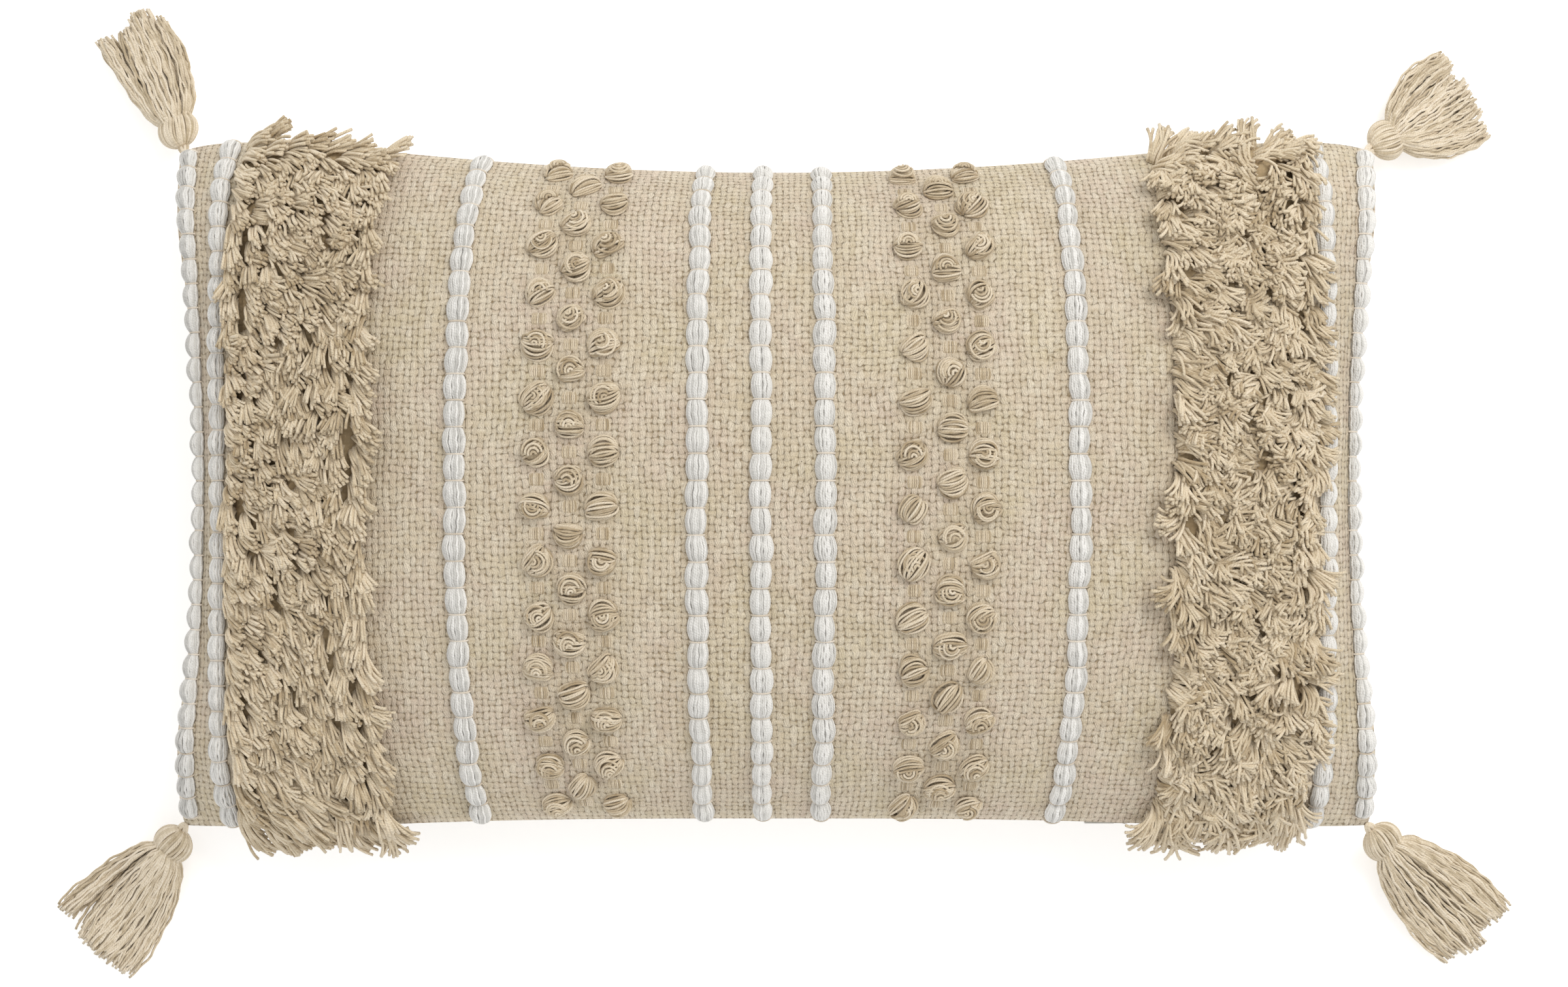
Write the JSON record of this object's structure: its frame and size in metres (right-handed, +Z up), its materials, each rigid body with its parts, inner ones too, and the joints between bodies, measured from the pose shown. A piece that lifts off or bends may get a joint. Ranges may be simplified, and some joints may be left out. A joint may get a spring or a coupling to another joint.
{
  "type": "throw pillow",
  "caption": "Rectangular lumbar throw pillow with woven cover, white bobble stripes, looped knot columns, shag bands, corner tassels, zipper in the lower seam and a fibre-filled insert.",
  "frame": {"origin": "on the surface the pillow lies on, under the middle of the flattened part of its back", "axes": "+X along the long side, towards the right when the face is seen with the zipper below; +Y along the short side, away from the zipper; +Z up, out of the face"},
  "size_m": [0.7378, 0.494, 0.1364],
  "materials": {
    "cover_cotton": "slubby basket-woven undyed cotton",
    "white_bobble_yarn": "soft white yarn bundles",
    "knot_yarn": "looped two-ply beige yarn",
    "shag_yarn": "cut two-ply beige yarn",
    "tassel_yarn": "two-ply beige yarn",
    "insert_lining": "plain white lining",
    "fibre": "loose polyester fibre",
    "zip_tape": "beige woven tape",
    "zip_nylon": "beige nylon coil",
    "zip_metal": "dull nickel plate"
  },
  "bodies": {
    "cover": {"front_panel": "cover_cotton", "back_panel": "cover_cotton", "seam_allowance": "cover_cotton", "insert_top": "insert_lining", "insert_bottom": "insert_lining", "fibre_fill": "fibre", "bobble_stripe_1": "white_bobble_yarn", "bobble_stripe_2": "white_bobble_yarn", "bobble_stripe_3": "white_bobble_yarn", "bobble_stripe_4": "white_bobble_yarn", "bobble_stripe_5": "white_bobble_yarn", "bobble_stripe_6": "white_bobble_yarn", "bobble_stripe_7": "white_bobble_yarn", "bobble_stripe_8": "white_bobble_yarn", "bobble_stripe_9": "white_bobble_yarn", "knot_cord_1": "knot_yarn", "knot_cord_2": "knot_yarn", "knot_cord_3": "knot_yarn", "knot_cord_4": "knot_yarn", "knot_cord_5": "knot_yarn", "knot_cord_6": "knot_yarn", "shag_row_left_1": "shag_yarn", "shag_row_left_2": "shag_yarn", "shag_row_left_3": "shag_yarn", "shag_row_left_4": "shag_yarn", "shag_row_right_1": "shag_yarn", "shag_row_right_2": "shag_yarn", "shag_row_right_3": "shag_yarn", "shag_row_right_4": "shag_yarn", "zip_tape_front": "zip_tape", "zip_tape_back": "zip_tape", "zip_coil_front": "zip_nylon", "zip_coil_back": "zip_nylon", "zip_top_stop_front": "zip_metal", "zip_top_stop_back": "zip_metal", "zip_bottom_stop": "zip_metal"},
    "tassel_upper_left_mount": {"tassel_upper_left_loop": "tassel_yarn"},
    "tassel_upper_left": {"tassel_upper_left_head": "tassel_yarn", "tassel_upper_left_binding": "tassel_yarn", "tassel_upper_left_skirt": "tassel_yarn"},
    "tassel_upper_right_mount": {"tassel_upper_right_loop": "tassel_yarn"},
    "tassel_upper_right": {"tassel_upper_right_head": "tassel_yarn", "tassel_upper_right_binding": "tassel_yarn", "tassel_upper_right_skirt": "tassel_yarn"},
    "tassel_lower_left_mount": {"tassel_lower_left_loop": "tassel_yarn"},
    "tassel_lower_left": {"tassel_lower_left_head": "tassel_yarn", "tassel_lower_left_binding": "tassel_yarn", "tassel_lower_left_skirt": "tassel_yarn"},
    "tassel_lower_right_mount": {"tassel_lower_right_loop": "tassel_yarn"},
    "tassel_lower_right": {"tassel_lower_right_head": "tassel_yarn", "tassel_lower_right_binding": "tassel_yarn", "tassel_lower_right_skirt": "tassel_yarn"},
    "zip_slider": {"zip_slider": "zip_metal"},
    "zip_pull": {"zip_pull": "zip_metal"}
  },
  "joints": [
    {"name": "tassel_upper_left_swing", "type": "hinge", "parent": "cover", "child": "tassel_upper_left_mount", "pos_m": [-0.295, 0.1648, 0.028], "axis": [0, 0, 1], "range_deg": [-25, 25]},
    {"name": "tassel_upper_left_lift", "type": "hinge", "parent": "tassel_upper_left_mount", "child": "tassel_upper_left", "pos_m": [-0.295, 0.1648, 0.028], "axis": [0.9135, 0.4067, 0], "range_deg": [0, 70]},
    {"name": "tassel_upper_right_swing", "type": "hinge", "parent": "cover", "child": "tassel_upper_right_mount", "pos_m": [0.295, 0.1648, 0.028], "axis": [0, 0, 1], "range_deg": [-25, 25]},
    {"name": "tassel_upper_right_lift", "type": "hinge", "parent": "tassel_upper_right_mount", "child": "tassel_upper_right", "pos_m": [0.295, 0.1648, 0.028], "axis": [0.5, -0.866, 0], "range_deg": [0, 70]},
    {"name": "tassel_lower_left_swing", "type": "hinge", "parent": "cover", "child": "tassel_lower_left_mount", "pos_m": [-0.295, -0.1718, 0.028], "axis": [0, 0, 1], "range_deg": [-25, 25]},
    {"name": "tassel_lower_left_lift", "type": "hinge", "parent": "tassel_lower_left_mount", "child": "tassel_lower_left", "pos_m": [-0.295, -0.1718, 0.028], "axis": [-0.788, 0.6157, 0], "range_deg": [0, 70]},
    {"name": "tassel_lower_right_swing", "type": "hinge", "parent": "cover", "child": "tassel_lower_right_mount", "pos_m": [0.295, -0.1718, 0.028], "axis": [0, 0, 1], "range_deg": [-25, 25]},
    {"name": "tassel_lower_right_lift", "type": "hinge", "parent": "tassel_lower_right_mount", "child": "tassel_lower_right", "pos_m": [0.295, -0.1718, 0.028], "axis": [-0.6947, -0.7193, 0], "range_deg": [0, 70]},
    {"name": "zip_slide", "type": "slide", "parent": "cover", "child": "zip_slider", "axis": [-1, 0, 0], "range_m": [0, 0.338]},
    {"name": "zip_pull_hinge", "type": "hinge", "parent": "zip_slider", "child": "zip_pull", "pos_m": [0.1695, -0.1657, 0.062], "axis": [0, 0, 1], "range_deg": [0, 150]}
  ]
}
